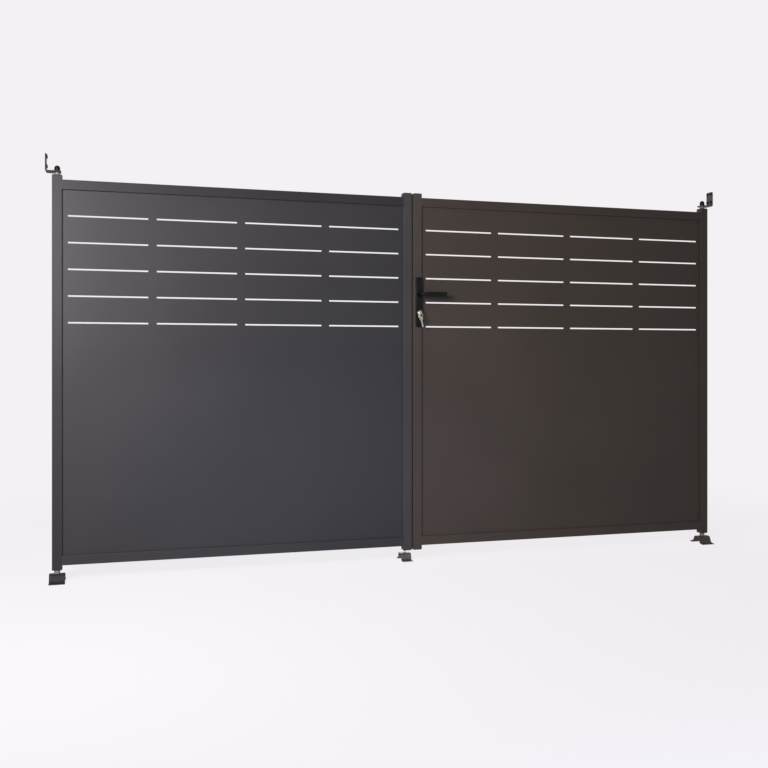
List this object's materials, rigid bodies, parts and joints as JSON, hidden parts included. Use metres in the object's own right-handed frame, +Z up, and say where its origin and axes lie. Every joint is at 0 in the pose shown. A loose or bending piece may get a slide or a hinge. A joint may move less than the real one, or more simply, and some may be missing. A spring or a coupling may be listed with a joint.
{
  "type": "double garden gate",
  "caption": "Double garden gate of coated sheet metal: tube-framed leaves with slotted panels on wall and floor pivots, with a lever lock and a drop bolt.",
  "frame": {"origin": "middle of the underside of the left floor bracket's front foot, on the ground, on the left leaf's pivot line in X", "axes": "+X along the closed gate from the left pivot to the right pivot, +Y from the lock side through the leaves to the side they open to, +Z up"},
  "size_m": [3.5, 0.1645, 1.949],
  "materials": {
    "leaf_coat": "satin",
    "bracket_coat": "satin",
    "zinc_steel": "satin",
    "dome_black": "gloss",
    "lock_black": "satin",
    "cylinder_brass": "satin",
    "key_nickel": "polished"
  },
  "bodies": {
    "fixings": {"left_top_bracket": "bracket_coat", "right_top_bracket": "bracket_coat", "left_top_pin": "zinc_steel", "right_top_pin": "zinc_steel", "left_dome_nut": "dome_black", "right_dome_nut": "dome_black", "left_floor_bracket": "bracket_coat", "right_floor_bracket": "bracket_coat", "left_floor_pin": "zinc_steel", "right_floor_pin": "zinc_steel", "floor_keeper": "zinc_steel"},
    "left_leaf": {"left_outer_stile": "leaf_coat", "left_meeting_stile": "leaf_coat", "left_top_rail": "leaf_coat", "left_bottom_rail": "leaf_coat", "left_panel": "leaf_coat", "left_outer_top_cap": "leaf_coat", "left_outer_bottom_cap": "leaf_coat", "left_meeting_top_cap": "leaf_coat", "left_meeting_bottom_cap": "leaf_coat", "bolt_guide": "leaf_coat"},
    "right_leaf": {"right_outer_stile": "leaf_coat", "right_meeting_stile": "leaf_coat", "right_top_rail": "leaf_coat", "right_bottom_rail": "leaf_coat", "right_panel": "leaf_coat", "right_outer_top_cap": "leaf_coat", "right_outer_bottom_cap": "leaf_coat", "right_meeting_top_cap": "leaf_coat", "right_meeting_bottom_cap": "leaf_coat", "front_lock_plate": "lock_black", "back_lock_plate": "lock_black", "lock_cylinder": "cylinder_brass", "key": "key_nickel", "key_ring": "key_nickel", "spare_key": "key_nickel"},
    "lever": {"front_lever": "lock_black", "back_lever": "lock_black", "lever_spindle": "zinc_steel"},
    "drop_bolt": {"drop_bolt": "zinc_steel"}
  },
  "joints": [
    {"name": "left_leaf_swing", "type": "hinge", "parent": "fixings", "child": "left_leaf", "pos_m": [0, 0.047, 0.056], "axis": [0, 0, 1], "range_deg": [0, 90]},
    {"name": "right_leaf_swing", "type": "hinge", "parent": "fixings", "child": "right_leaf", "pos_m": [3.396, 0.047, 0.056], "axis": [0, 0, -1], "range_deg": [0, 90]},
    {"name": "lever_turn", "type": "hinge", "parent": "right_leaf", "child": "lever", "pos_m": [1.73, 0.047, 1.344], "axis": [0, 1, 0], "range_deg": [0, 40], "stiffness_Nm_per_rad": 2, "springref_deg": -20.05},
    {"name": "drop_bolt_slide", "type": "slide", "parent": "left_leaf", "child": "drop_bolt", "axis": [0, 0, -1], "range_m": [0, 0.036]}
  ]
}
